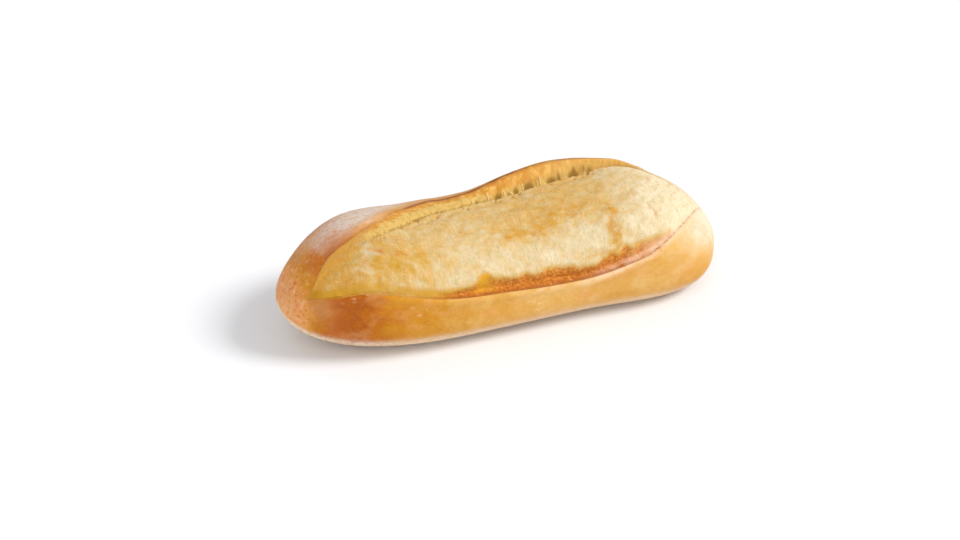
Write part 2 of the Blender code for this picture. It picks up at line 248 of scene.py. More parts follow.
def cut_at(station, angle, round_by):
    """The cut's lines on this slice, as distances round it, and its sizes there."""
    x = station * LENGTH / 2
    rim_deg, groove_deg, lip_deg, band, lift, swell = (
        curve(station, CUT[:, 0], CUT[:, k]) for k in range(1, 7))
    rim, groove, lip = (np.interp(math.radians(a), angle, round_by)
                        for a in (rim_deg, groove_deg, lip_deg))
    flake = bump(station, FLAKE_STATION, FLAKE_HALF_LENGTH)
    waver = line_noise(x, RAGGED_LENGTH, SEED + 3, 0)
    near = min(1, max(lip - rim, 1) / SPREAD_OUT)
    torn = ramp(band, *BAND_TORN)
    height = (band + FLAKE_RISE * flake) * (1 + BAND_RAGGED * waver)
    height += BAND_TATTERS[0] * torn * line_noise(x, BAND_TATTERS[1], SEED + 8)
    grooved = ramp(station, *GROOVE_STARTS) * fall(station, *GROOVE_ENDS)
    lift = max(lift, 0) + LIP_WAVER[0] * grooved * line_noise(x, LIP_WAVER[1], SEED + 9)
    return SimpleNamespace(
        rim=rim, groove=groove, lip=lip, near=near, grooved=grooved, torn=torn, swell=swell,
        flake=flake, lift=lift, open=ramp(lip - rim, *OPENS),
        band_top=rim + max(height, BAND_LEAST * near),
        crust_edge=lip - CRUST_LAPS[2] * near * bump(x, *CRUST_LAPS[:2]))


def along_profile(at, profile):
    """A curve through the profile's places, made to increase where the cut is too narrow."""
    places, heights = zip(*profile)
    rising = np.maximum.accumulate(places) + np.arange(len(places)) * LEAST_STEP
    return curve(at, rising, heights)


def cut_relief(cut, at):
    """How far the surface stands out from the uncut loaf, along its normal."""
    rim, groove, lip, near = cut.rim, cut.groove, cut.lip, cut.near
    top, torn, swell = cut.band_top, cut.torn, cut.swell
    band = top - rim
    step = RIM_STEP + BAND_DEPTH * torn
    depth = GROOVE_DEPTH * cut.grooved
    stands = LIP_STANDS * cut.grooved
    dips, turns_in, turns_out = (side * near for side in GROOVE_SIDES)
    profile = (
        (rim - RIM_ROLL[0], 0),
        (rim - RIM_ROLL[1], 0.2 * RIM_BEAD),
        (rim - RIM_ROLL[2] * near, RIM_BEAD),
        (rim, 0.3 * RIM_BEAD),
        (rim + min(BAND_FOOT, band * 0.3), -step),
        (rim + band * 0.7, -0.6 * step),
        (top, torn - 0.3),
        (top + CRUMB_EDGE * near, 0.6 * torn + 0.2),
        ((top + groove) / 2, CRUMB_SWELL + 0.3 * swell),
        (groove - dips, swell),
        (groove - turns_in, swell - 0.3),
        (groove, swell - 0.3 - depth),
        (groove + turns_out, 0.5 * swell - 0.2 - 0.7 * depth),
        ((groove + lip) / 2, -stands),
        (lip - LIP_EDGE * near, 0),
        (lip, stands),
        (lip + PAST_LIP, 0.7 * stands),
        (lip + LIP_FALL[2][0], 0),
    )
    return along_profile(at, profile) * cut.open


def lip_lift(cut, at):
    """How far the crust behind the groove is raised, straight up."""
    groove, lip, near = cut.groove, cut.lip, cut.near
    wall = (
        (groove - GROOVE_SIDES[1] * near, 0),
        (groove, 0.02),
        (groove + GROOVE_SIDES[2] * near, 0.14),
        ((groove + lip) / 2, 0.5),
        (lip - LIP_EDGE * near, 0.94),
    )
    profile = wall + tuple((lip + behind, share) for behind, share in LIP_FALL)
    return along_profile(at, profile) * cut.lift


def pores():
    """(x, distance past the groove, half length, half height, depth) of each pore."""
    rng = np.random.default_rng(SEED)
    made = list(PORES)
    for _ in range(FINE_PORES):
        radius = rng.uniform(*FINE_PORE_RADIUS)
        made.append((rng.uniform(*FINE_PORE_STATIONS) * LENGTH / 2,
                     rng.uniform(*FINE_PORE_PAST_GROOVE), radius, radius,
                     rng.uniform(*FINE_PORE_DEPTH)))
    return np.array(made)


def crags(cut, x, at):
    """Small relief: craggy crumb and band, and slow dents in the crust."""
    def bumps(crag, seed):
        height, along, across = crag
        return height * lattice_noise(x / along, (at - cut.rim) / across, seed)

    past_rim = ramp(at, cut.rim, cut.rim + BAND_FOOT)
    before_lip = fall(at, cut.lip - LIP_EDGE, cut.lip)
    past_band = ramp(at, cut.band_top - LIP_EDGE, cut.band_top + LIP_EDGE)
    inside = past_rim * before_lip * cut.open
    crumb = bumps(CRUMB_CRAGS, SEED + 1) + bumps(CRUMB_GRAIN, SEED + 2)
    relief = inside * (crumb * past_band + bumps(BAND_CRAGS, SEED + 4) * (1 - past_band))
    relief = relief * (1 - BLUNT_CALM[2] * ramp(x, *BLUNT_CALM[:2]))
    return relief + bumps(CRUST_DENTS, SEED + 5) * (1 - inside)


def base_edges(station, round_by, z):
    """Distances round the slice at which its base ends, in front and behind."""
    base = np.flatnonzero(z <= sole_height(station) + NEARLY_NOTHING)
    total = round_by[-1]
    half = len(z) // 2
    front = round_by[base[base < half].max()] if (base < half).any() else 0
    back = round_by[base[base > half].min()] if (base > half).any() else total
    return (min(max(front, BASE_SHARE[0] * total), BASE_SHARE[1] * total),
            total - min(max(total - back, BASE_SHARE[0] * total), BASE_SHARE[1] * total))


def row_distances(cut, edges, total):
    """Where the mesh's rows lie round the slice, from the base's middle and back to it."""
    scale = min(1, total / FULL_GIRTH)
    spread = 0.5 * max(LEAST_OPENING * scale - (cut.lip - cut.rim), 0)
    rim, lip = cut.rim - spread, cut.lip + spread
    width = lip - rim
    top = min(max(cut.band_top, rim + TOP_WITHIN[0] * width), rim + TOP_WITHIN[1] * width)
    groove = min(max(cut.groove, rim + GROOVE_WITHIN[0] * width),
                 lip - GROOVE_WITHIN[1] * min(width, 20))
    turn = min(2 * GROOVE_SIDES[1], 0.1 * (groove - top))
    stops = (0, edges[0], rim - RIM_ROLL[1] * scale, rim, top, groove - turn, groove, lip,
             lip + PAST_LIP * scale, edges[1], total)
    return np.concatenate([np.linspace(start, end, rows + 1)[:-1]
                           for start, end, rows in zip(stops, stops[1:], ROWS)])


# ---- Where each look lies ----
# patches on the crumb: x, distance past the rim, half length, half height, strength
TOASTED = (
    (-78, 19, 12, 9, 1.1), (-62, 25.5, 8, 4.5, 0.75), (-94, 5.2, 10, 4, 0.6),
    (-62, 40, 18, 6, 0.25), (-1.7, 35, 6, 4, 0.7), (9.2, 35.5, 9, 5.5, 1.1),
    (21, 40, 10, 5.5, 0.85), (33, 44, 9, 5, 0.7), (46, 43.5, 9, 5, 0.55), (30, 54, 24, 8, 0.42),
    (64.5, 36, 5, 6.5, 0.95), (62, 23, 3.4, 6.5, 1.2), (58, 13, 13, 2.6, 0.85),
    (74, 11, 5, 2.2, 0.6), (82, 42, 8, 5, 0.45),
)
# small scorched spots, in the same way
SCORCHED = (
    (-82.5, 28.9, 2.4, 1.9, 0.85), (-73.5, 26.5, 1.7, 1.2, 0.55), (-69.5, 27.7, 2.2, 1.5, 0.75),
    (89, 25.7, 1.3, 2.2, 0.5), (90.5, 19, 1.2, 1.8, 0.5), (94.9, 18.7, 1.4, 1.5, 0.4),
    (101.9, 46.7, 1.6, 2.4, 0.4), (-98.9, -15.9, 1.5, 1.5, 0.8), (-96, -19.5, 0.9, 1, 0.6),
)
# and patches of greyish flour
PALED = (
    (-89.5, 28, 5, 9, 0.8), (-95, 14, 4.5, 5, 0.6), (-73, 8, 11, 3, 0.65), (-52, 16, 9, 5, 0.5),
    (-69, 37.5, 13, 4.5, 0.4), (-20, 34, 10, 8, 0.35), (-34, 24, 9, 10, 0.4), (28, 24, 20, 9, 0.55),
    (54, 24, 12, 9, 0.4),
)
# Stretches of x, in mm, over which a look comes in or goes out
BLUNT_TURN = (94, 122)  # the crust's front and back tones part further down
FAR_END = (80, 112)  # the crust pales above and browns below
BLUNT_SIDE = (60, 90)  # the soft strip and the lip's brown edge end
SLIM_HALF = (-18, 8)  # the pale foot of the lip's inner face gets lower
DUST_FROM = -108.5  # and the x at which flour starts on the shoulder
DUST_THICKENS = (27, 12.5)  # mm from the lip to full dust there, by the tip and past it
FOOT_TURNS = (0.32, 0.62)  # how far the skin faces down where the floury foot starts
PATCH_WANDER = 4.5  # mm between the swings of a patch's outline
PATCH_UNEVEN = 0.65  # and how wide they are, as a share of the patch
TOAST_HALO = 1.9  # the crumb round a toasted patch ripens this much further out
# x, how ripe the crumb's colour is near the rim, and near the groove
RIPENESS = np.array((
    (-140, 0.74, 0.78), (-112, 0.74, 0.76), (-97, 0.62, 0.66), (-84, 0.48, 0.54), (-60, 0.38, 0.48),
    (-40, 0.32, 0.48), (-10, 0.28, 0.48), (25, 0.22, 0.52), (60, 0.16, 0.5), (85, 0.1, 0.28),
    (105, 0.04, 0.1), (140, 0, 0.06),
))
# x, how brown the crust is in front, and behind
BROWNING = np.array((
    (-140, 0.34, 0.46), (-129, 0.62, 0.72), (-122, 0.82, 0.8), (-115, 0.9, 0.82),
    (-106, 1, 0.84), (-97, 0.95, 0.78), (-86, 0.81, 0.66), (-72, 0.67, 0.6), (-55, 0.59, 0.56),
    (-34, 0.5, 0.54), (0, 0.41, 0.52), (22, 0.37, 0.5), (70, 0.36, 0.46), (95, 0.38, 0.34),
    (112, 0.24, 0.14), (124, 0.14, 0.04), (140, 0.08, 0.02),
))


def patches(table, x, past, spread=1):
    """How strongly any patch of the table shows at each row, with uneven outlines."""
    shown = np.zeros_like(past)
    along, across = (lattice_noise(x / PATCH_WANDER, past / PATCH_WANDER, SEED + 14 + k)
                     for k in range(2))
    for centre, height, half_length, half_height, strength in table:
        at_x = x + PATCH_UNEVEN * half_length * along
        at_past = past + PATCH_UNEVEN * half_height * across
        shown += (strength * bump(at_x, centre, half_length * spread)
                  * bump(at_past, height, half_height * spread))
    return np.clip(shown, 0, 1)


def between(table, x, share):
    """What the table says at x, from its first kind of value to its second by the share."""
    first, second = (curve(x, table[:, 0], table[:, k]) for k in (1, 2))
    return first * (1 - share) + second * share


def crust_looks(cut, x, at, z, downward, crumb):
    """Masks of the crust: browning, russet, blush, flour and the rim's painted highlight line."""
    rim, lip = cut.rim, cut.crust_edge
    past, beyond = at - rim, at - lip
    blunt, far_end = ramp(x, *BLUNT_TURN), ramp(x, *FAR_END)
    behind = ramp(at, (rim + lip) / 2 - 14 * blunt, lip + 6 + 22 * blunt)
    ragged_x = x + 3.5 * lattice_noise(x / 9, at / 8, SEED + 12)
    browning = between(BROWNING, ragged_x, behind)
    browning = (browning - 0.16 * far_end * ramp(z, 28, 46)
                + 0.07 * far_end * fall(z, 14, 30))
    browning = browning + 0.2 * bump(x, 117, 15) * fall(z, 16, 36) * (1 - behind)
    lip_brown = 0.08 + 0.12 * ramp(x, -75, -50)
    browning = browning + lip_brown * bump(beyond, 1.5, 4) * (1 - far_end) * cut.open
    near_tip = fall(ragged_x, -103, -84) * ramp(ragged_x, -128, -116)
    russet = 0.36 * near_tip * ramp(beyond, -1.6, 3) * fall(beyond, 8, 30)
    in_front = 0.55 * bump(ragged_x, -114, 8) * (1 - behind)
    russet = russet + in_front * (1 - crumb) * ramp(z, 6, 20)
    blush = fall(ragged_x, -132, -121) * 0.75
    blush = np.maximum(blush, 0.34 * behind * fall(ragged_x, -112, -96))
    down_back = np.maximum(beyond - 14, 0)
    dust_x = ragged_x + 0.35 * np.clip(beyond, 0, 14)
    dusted = ramp((dust_x - DUST_FROM) / (4 + 0.8 * down_back), -1, 1)
    fading = (1 - 0.6 * ramp(ragged_x, -76, -30)) * (1 - 0.8 * ramp(down_back, 4, 44))
    thickens = DUST_THICKENS[0] + (DUST_THICKENS[1] - DUST_THICKENS[0]) * ramp(x, -106, -88)
    shoulder = np.clip((beyond + 0.5) / thickens, 0, 1) * dusted * fading
    foot = ramp(downward, *FOOT_TURNS) * (1 - 0.3 * ramp(x, -60, 10))
    nose = 0.14 * bump(x, -137, 7) + 0.15 * bump(x, -121, 6.5) * bump(past, -6, 7)
    # painted highlight: a pale pinkish line along the rounded rim, where it catches the light
    rises = ramp(x, 30, 75)
    highlight_share = ramp(x, -15, 12) * (0.32 + 0.68 * ramp(x, 28, 60))
    highlight_line = bump(past, -1.9 + 2.6 * rises, 2 + 1.2 * rises)
    return {
        "browning": np.clip(browning, 0, 1),
        "russet": np.clip(russet, 0, 1),
        "blush": np.clip(blush, 0, 1) * (1 - crumb),
        "foot": foot * (1 - crumb),
        "flour": np.clip(np.maximum(shoulder, foot) + nose, 0, 1) * (1 - crumb),
        "rim_highlight": highlight_line * highlight_share * fall(x, 112, 130),
    }


def crumb_looks(cut, x, at, crumb):
    """Masks of the crumb: ripeness, toast, scorched spots, flour, gold at the tip, painted groove
    shade, the band.
    """
    rim, top, groove, lip = cut.rim, cut.band_top, cut.groove, cut.crust_edge
    past = at - rim
    ripe = between(RIPENESS, x, ramp(past / max(groove - rim, 1), 0.25, 0.85))
    slim = fall(x, *SLIM_HALF)
    up_wall = (at - groove) / max(lip - groove, 1)
    lip_edge = ramp(at, lip - 1, lip - 0.1) * fall(at, lip + 0.8, lip + 2.6)
    lip_edge = lip_edge * ramp(x, -72, -44) * fall(x, *BLUNT_SIDE)
    return {
        "ripe": np.clip(ripe + 0.19 * patches(TOASTED, x, past, TOAST_HALO), 0, 1),
        "toast": patches(TOASTED, x, past) * crumb,
        "scorched": patches(SCORCHED, x, past),
        "paled": patches(PALED, x, past),
        "tip_gold": crumb * fall(x, -98, -84) * fall(lip - at, 5, 17),
        "soft_strip": (fall(past, 3.4, 7.4) * (1 - 0.7 * ramp(x, -34, -18))
                       * fall(x, *BLUNT_SIDE) * (1 - 0.5 * bump(x, -88, 20))),
        "lip_shade": fall(x, -94, -78) * fall(lip - at, 6, 14),
        "wall_foot": fall(up_wall, 0.22 + 0.24 * slim, 0.58 + 0.26 * slim),
        # painted shade in a thin line just past the groove's bottom
        "groove_shade": bump(at - groove, 1.9, 0.75) * slim * ramp(x, -88, -74),
        "torn": ramp(top - rim, 1.3, 4.4) * (1 - ramp(x, 98, 118)),
        "band_height": top - rim,
        "band": crumb * fall(at, top - 0.7, top + 0.7) * cut.torn,
        "flake": ramp(past, 0.5, 2) * fall(at, top - 0.2, top + 1.6) * cut.flake,
        "lip_edge": lip_edge * (1 - 0.45 * ramp(x, 12, 40)),
    }


def looks_of(cut, x, at, z, downward, pore_shade):
    """The masks that the finishes follow, one number for every row."""
    rim, groove, lip = cut.rim, cut.groove, cut.crust_edge
    apart = ramp(lip - rim, 1, 5)
    crumb = ramp(at, rim - 0.4, rim + 0.5) * fall(at, lip - 0.7, lip + 0.1) * apart
    # painted shade in the narrow slit where the cut begins near the slim tip
    slit_shade = bump(x, -126.3, 1.1) * bump(at - rim, 0, 3.4)
    looks = {
        "crumb": crumb,
        "wall": crumb * ramp(at, groove - 0.3, groove + 1.2),
        "streaky": 1 - 0.55 * ramp(x, 58, 100),
        "ribbed": ramp(x, -36, -4),
        "calm": ramp(z, 0.3, 4),
        "apart": ((at > rim - 6) & (at < lip + 6)) * apart,
        "grooved": cut.grooved,
        "pore_shade": np.clip(pore_shade + 0.42 * slit_shade, 0, 1),
        **crust_looks(cut, x, at, z, downward, crumb),
        **crumb_looks(cut, x, at, crumb),
    }
    return {name: np.zeros_like(at) + mask for name, mask in looks.items()}


def loaf_slice(station, pore_list):
    """The finished slice: its points, its rows' places on the surface, and its looks."""
    angle, round_by, y, z, normal_y, normal_z = uncut_slice(station)
    cut = cut_at(station, angle, round_by)
    at = row_distances(cut, base_edges(station, round_by, z), round_by[-1])
    x = station * LENGTH / 2
    out = cut_relief(cut, at) + crags(cut, x, at) * closing(station, END_CALM)
    pore_shade = np.zeros_like(at)
    for pore in pore_list[np.abs(pore_list[:, 0] - x) < PORE_REACH]:
        pore_x, past_groove, half_length, half_height, depth = pore
        away = (((x - pore_x) / half_length) ** 2
                + ((at - cut.groove - past_groove) / half_height) ** 2)
        hollow = np.exp(-away)
        out = out - depth * cut.open * hollow
        # painted shade in the pore's hollow, darker the deeper it is
        pore_shade = pore_shade + (PORE_SHADE_LEAST + PORE_SHADE_BY_DEPTH * depth) * hollow * cut.open
    new_y, new_z, face_y, face_z = (np.interp(at, round_by, line)
                                    for line in (y, z, normal_y, normal_z))
    out = out * ramp(new_z, *BASE_CALM)
    new_y = new_y + out * face_y - AXIS_OFF_CENTRE
    new_z = np.maximum(new_z + out * face_z + lip_lift(cut, at), 0)
    along = np.full_like(at, x)
    points = np.stack([along, new_y, new_z], axis=1)
    place = np.stack([along, at - cut.rim, cut.crust_edge - at], axis=1)
    return points, place, looks_of(cut, x, at, new_z, -face_z, pore_shade)


# ---- The body ----
def ring_station(k):
    """Station of the ring, closer together towards the tips."""
    u = 2 * k / (RINGS - 1) - 1
    return (1 - RING_CROWDING) * u + RING_CROWDING * math.sin(u * math.pi / 2)


def closed_grid(rings, tips):
    """A closed mesh of rings between two tips, with its own map laid out as rings by rows."""
    count, rows = len(rings), len(rings[0])
    points = np.concatenate([np.concatenate(rings), np.array(tips)])
    ring, row = np.meshgrid(np.arange(count - 1), np.arange(rows), indexing="ij")
    ring, row = ring.ravel(), row.ravel()
    after = (row + 1) % rows
    quads = np.stack([ring * rows + row, (ring + 1) * rows + row,
                      (ring + 1) * rows + after, ring * rows + after], axis=1)
    first, last = len(points) - 2, len(points) - 1
    edge = np.arange(rows)
    beyond = (edge + 1) % rows
    top = (count - 1) * rows
    fans = np.concatenate([
        np.stack([edge, beyond, np.full(rows, first)], axis=1),
        np.stack([top + beyond, top + edge, np.full(rows, last)], axis=1),
    ])
    mesh = bpy.data.meshes.new("loaf_body")
    mesh.from_pydata((points * MM).tolist(), [], quads.tolist() + fans.tolist())
    u0, u1 = row / rows, (row + 1) / rows
    v0, v1 = (ring + 1) / (count + 1), (ring + 2) / (count + 1)
    flat = np.stack([u0, v0, u0, v1, u1, v1, u1, v0], axis=1).ravel()
    e0, e1 = edge / rows, (edge + 1) / rows
    low, high = np.full(rows, 1 / (count + 1)), np.full(rows, count / (count + 1))
    start = np.stack([e0, low, e1, low, (e0 + e1) / 2, np.zeros(rows)], axis=1).ravel()
    end = np.stack([e1, high, e0, high, (e0 + e1) / 2, np.ones(rows)], axis=1).ravel()
    layer = mesh.uv_layers.new(name="OFBake")
    layer.data.foreach_set("uv", np.concatenate([flat, start, end]))
    return mesh


def set_masks(mesh, name, values, kind="FLOAT"):
    """Stores one number or vector for each point of the mesh."""
    layer = mesh.attributes.new(name, kind, "POINT")
    layer.data.foreach_set("value" if kind == "FLOAT" else "vector",
                           np.asarray(values, np.float32).ravel())


def body_grid():
    """Every ring of the body, from the slim end to the blunt one."""
    pore_list = pores()
    slices = [loaf_slice(ring_station(k), pore_list) for k in range(1, RINGS - 1)]
    tips = [(end * LENGTH / 2, curve(end, STATIONS, SIDE_BEND) - AXIS_OFF_CENTRE,
             curve(end, STATIONS, WIDEST_LEVEL)) for end in (-1, 1)]
    return slices, tips


def body_mesh(slices, tips):
    mesh = closed_grid([s[0] for s in slices], tips)
    place = np.concatenate([s[1] for s in slices] + [slices[0][1][:1], slices[-1][1][:1]])
    set_masks(mesh, "place", place, "FLOAT_VECTOR")
    for name in slices[0][2]:
        rows = [s[2][name] for s in slices]
        set_masks(mesh, name, np.concatenate(rows + [rows[0][:1], rows[-1][:1]]))
    mesh.shade_smooth()
    return mesh


# ---- Node trees: small words for their parts ----
class Wiring:
    """Adds nodes to a tree. Each method gives back the output that the next one needs."""

    def __init__(self, tree):
        self.tree = tree

    def put(self, node, inputs):
        """Sets inputs, by name or number, to values or to other nodes' outputs."""
        for key, value in inputs.items():
            if isinstance(value, bpy.types.NodeSocket):
                self.tree.links.new(value, node.inputs[key])
            elif value is not None:
                node.inputs[key].default_value = value

    def node(self, kind, inputs={}, out=0, **settings):
        made = self.tree.nodes.new(kind)
        for name, value in settings.items():
            setattr(made, name, value)
        self.put(made, inputs)
        return made.outputs[out] if made.outputs else None

    def math(self, operation, *values, clamp=False):
        return self.node("ShaderNodeMath", dict(enumerate(values)), operation=operation,
                         use_clamp=clamp)

    def times(self, first, *others):
        for other in others:
            first = self.math("MULTIPLY", first, other)
        return first

    def plus(self, base, value, share, clamp=False):
        """The base, and so large a share of the value."""
        return self.math("MULTIPLY_ADD", value, share, base, clamp=clamp)

    def vector(self, operation, *values, **scale):
        return self.node("ShaderNodeVectorMath", {**dict(enumerate(values)), **scale},
                         operation=operation)

    def xyz(self, *parts):
        return self.node("ShaderNodeCombineXYZ", dict(enumerate(parts)))

    def noise(self, vector, scale=1, detail=2, roughness=0.5, distortion=0, out=0):
        return self.node("ShaderNodeTexNoise", {
            "Vector": vector, "Scale": scale, "Detail": detail, "Roughness": roughness,
            "Distortion": distortion}, out)

    def even(self, noise):
        """The noise as a swing to either side of 0."""
        return self.math("SUBTRACT", noise, 0.5)

    def cells(self, vector, scale):
        return self.node("ShaderNodeTexVoronoi", {"Vector": vector, "Scale": scale}, "Distance")

    def step(self, value, low, high):
        """0 below low and 1 above high, smooth between. Low may be the larger."""
        return self.node("ShaderNodeMapRange", {
            "Value": value, "From Min": low, "From Max": high}, interpolation_type="SMOOTHSTEP")

    def blend(self, share, first, second, way="MIX"):
        return self.node("ShaderNodeMix", {0: share, 6: first, 7: second}, 2, data_type="RGBA",
                         blend_type=way)

    def coats(self, tone, *coats):
        """The tone under coats of colour, each as full as the product of its shares."""
        for colour, *shares in coats:
            tone = self.blend(self.times(*shares), tone, colour)
        return tone

    def tones(self, value, stops):
        """Colour by a number: stops are (place, red, green, blue)."""
        tone = self.node("ShaderNodeValToRGB", {0: value})
        marks = tone.node.color_ramp.elements
        while len(marks) < len(stops):
            marks.new(0.5)
        for mark, (place, *colour) in zip(marks, stops):
            mark.position = place
            mark.color = shade(*colour)
        return tone


class SurfaceWiring(Wiring):
    """A material's nodes."""

    def __init__(self, name):
        self.material = bpy.data.materials.new(name)
        self.material.use_nodes = True
        super().__init__(self.material.node_tree)

    def mask(self, name, out="Fac"):
        return self.node("ShaderNodeAttribute", out=out, attribute_name=name)

    def skin(self, along, across):
        """Coordinates along and round the loaf, in units of these lengths in millimetres."""
        return self.vector("MULTIPLY", self.mask("place", "Vector"),
                           (1 / along, 1 / across, 1 / SAME_IN_DEPTH))

    def skin_noise(self, along, across, *how):
        return self.noise(self.skin(along, across), 1, *how)

    def place_in_mm(self):
        """Three numbers: x, the distance past the rim, and the distance up to the lip."""
        return self.node("ShaderNodeSeparateXYZ", {0: self.mask("place", "Vector")}).node.outputs

    def solid(self):
        return self.node("ShaderNodeTexCoord", out="Object")

    def stretched(self, spot, x, y=1, z=1):
        """The spot in a space where patterns come out longer wherever a number is below 1."""
        return self.vector("MULTIPLY", spot, (x, y, z))

    def relief(self, height, distance, strength, under=None):
        return self.node("ShaderNodeBump", {
            "Strength": strength, "Distance": distance, "Height": height, "Normal": under})

    def finish(self, colour, roughness, normal=None, gloss=None):
        self.put(self.tree.nodes["Principled BSDF"], {
            "Base Color": colour, "Roughness": roughness, "Normal": normal,
            "Specular IOR Level": gloss})
        return self.material


def shade(red, green, blue):
    """A colour as a painter mixes it, 0 to 255, made linear."""
    def linear(c):
        c = c / 255.0
        return c / 12.92 if c <= 0.04045 else ((c + 0.055) / 1.055) ** 2.4

    return (linear(red), linear(green), linear(blue), 1)


SAME_IN_DEPTH = 1e6  # a length so large that a pattern doesn't change that way
STRAND_RATIO = 8  # a strand's length for its spacing
LUMPS_ACROSS = 0.8  # on the largest grain


# ---- Palette ----
CRUST_TONES = (
    (0, 222, 208, 180), (0.16, 216, 184, 134), (0.34, 218, 172, 98), (0.5, 208, 156, 74),
    (0.68, 197, 132, 22), (0.88, 183, 103, 8), (1, 166, 85, 14),
)
CRUMB_TONES = (
    (0, 230, 214, 182), (0.25, 214, 192, 150), (0.5, 210, 174, 110), (0.75, 206, 158, 78),
    (1, 196, 136, 50),
)
BAND_TONES = (
    (0.3, 164, 84, 28), (0.5, 196, 118, 38), (0.7, 222, 160, 78),
)
WALL_GOLD = shade(198, 138, 50)
WALL_PINK = shade(210, 150, 72)
WALL_CREAM = shade(231, 185, 102)
WALL_EDGE = shade(196, 124, 46)
WALL_FOOT = shade(214, 181, 106)
WALL_OLIVE = shade(176, 146, 70)
WALL_SPOT = shade(182, 116, 36)
TOAST = shade(197, 149, 50)
TOAST_ORANGE = shade(205, 138, 46)
TIP_GOLD = shade(232, 177, 78)
STRIP_GOLD = shade(200, 146, 32)
SCORCH = shade(196, 116, 40)
GREY_CRUMB = shade(211, 198, 164)
PALE_SPECK = shade(230, 204, 160)
DARK_SPECK = shade(150, 78, 34)
RUSSET = shade(176, 86, 24)
PEACH_CRUST = shade(218, 158, 98)
AMBER_CRUST = shade(206, 143, 50)
BLUSH = shade(229, 147, 78)
BLUSH_PALE = shade(230, 178, 132)
# the colour of the rim's painted highlight
RIM_HIGHLIGHT = shade(240, 206, 172)
RIM_SHADE = shade(158, 86, 32)
BAND_LIGHT = shade(214, 146, 64)
BAND_ORANGE = shade(190, 114, 38)
FLAKE_GOLD = shade(212, 155, 44)
LIP_BROWN = shade(138, 76, 28)
LIP_SHADE = shade(236, 225, 209)
# painted shade: the dark olive of pores, the groove and small holes in the crumb
PAINTED_PORE_SHADE = shade(142, 106, 38)
OLIVE_CRUMB = shade(192, 175, 112)
PEACH_CRUMB = shade(228, 183, 136)
FLOUR_DUST = shade(210, 196, 187)
FLOUR_BLUSH = shade(212, 188, 174)
FOOT_DUST = shade(230, 208, 180)


def crust_tone(n, spot):
    """Golden crust, browner at the slim end, mottled and finely speckled."""
    brown, blush = n.mask("browning"), n.mask("blush")
    drawn_out = n.stretched(spot, 0.6)
    mottle = n.even(n.noise(spot, 90, 4, 0.65))
    slow = n.even(n.noise(drawn_out, 38, 3, 0.55))
    firm = n.plus(0.35, n.step(brown, 0.02, 0.36), 0.65)
    level = n.plus(brown, n.times(mottle, firm), 0.56)
    level = n.plus(level, n.times(slow, firm), 0.3)
    level = n.plus(level, n.even(n.noise(spot, 480, 3, 0.7)), 0.3, clamp=True)
    patch = n.step(n.noise(drawn_out, 75, 3, 0.6), 0.48, 0.68)
    amber = n.step(n.noise(n.stretched(spot, 0.5), 52, 3, 0.6), 0.54, 0.38)
    freckle = n.noise(spot, 380, 3, 0.6)
    pale = n.step(n.cells(n.stretched(spot, 0.55, 1, 1.2), 300), 0.42, 0.06)
    dark = n.step(n.cells(n.vector("ADD", spot, (0.31, 0.2, 0.1)), 240), 0.16, 0.07)
    return n.coats(
        n.tones(level, CRUST_TONES),
        (PEACH_CRUST, patch, firm, 0.42),
        (AMBER_CRUST, amber, n.step(brown, 0.98, 0.6), firm, 0.46),
        (BLUSH, n.step(n.plus(blush, mottle, 1.6), 0.05, 0.95), blush),
        (RUSSET, n.step(freckle, 0.53, 0.68), blush),
        (BLUSH_PALE, n.step(freckle, 0.45, 0.32), blush),
        (PALE_SPECK, pale, n.step(n.noise(spot, 45), 0.54, 0.66), 0.34),
        (DARK_SPECK, dark, n.step(brown, 0.36, 0.72), 0.4),
    )


def crumb_tone(n, along):
    """Floury crumb: fine streaks across the loaf, olive and peach clouds, toasted patches."""
    streak = n.even(n.skin_noise(1.2, 7, 4, 0.7))
    cloud = n.even(n.skin_noise(7, 5, 4, 0.65))
    level = n.plus(n.mask("ripe"), streak, 0.5)
    level = n.plus(level, n.even(n.skin_noise(17, 11)), 0.55)
    hue = n.skin_noise(3, 6, 4, 0.65)
    floury = n.plus(n.mask("paled"), cloud, -1.2)
    golden = n.plus(n.plus(n.mask("toast"), cloud, 2.1), streak, 0.8)
    orange = n.times(n.step(hue, 0.42, 0.6), n.step(along, -58, -24))
    # small dots of painted shade, as in tiny holes of the crumb
    pore_dots = n.step(n.cells(n.skin(1.5, 2.2), 1), 0.26, 0.08)
    tone = n.coats(
        n.tones(n.plus(level, cloud, 0.78, clamp=True), CRUMB_TONES),
        (OLIVE_CRUMB, n.step(hue, 0.5, 0.68), 0.55),
        (PEACH_CRUMB, n.step(hue, 0.48, 0.32), 0.45),
        (GREY_CRUMB, n.step(floury, 0.05, 1.1), 0.78),
        (n.blend(orange, TOAST, TOAST_ORANGE), n.step(golden, 0.15, 1.35), 0.92),
        (TIP_GOLD, n.mask("tip_gold"), n.plus(0.62, cloud, 1.4)),
        (PAINTED_PORE_SHADE, pore_dots, n.step(n.skin_noise(9, 9), 0.46, 0.62), 0.55),
    )
    thread = n.even(n.skin_noise(0.8, 4, 3, 0.7))
    depth = n.plus(0.42, n.step(along, 45, 100), -0.24)
    return n.blend(1, tone, n.plus(1, thread, depth), way="MULTIPLY")


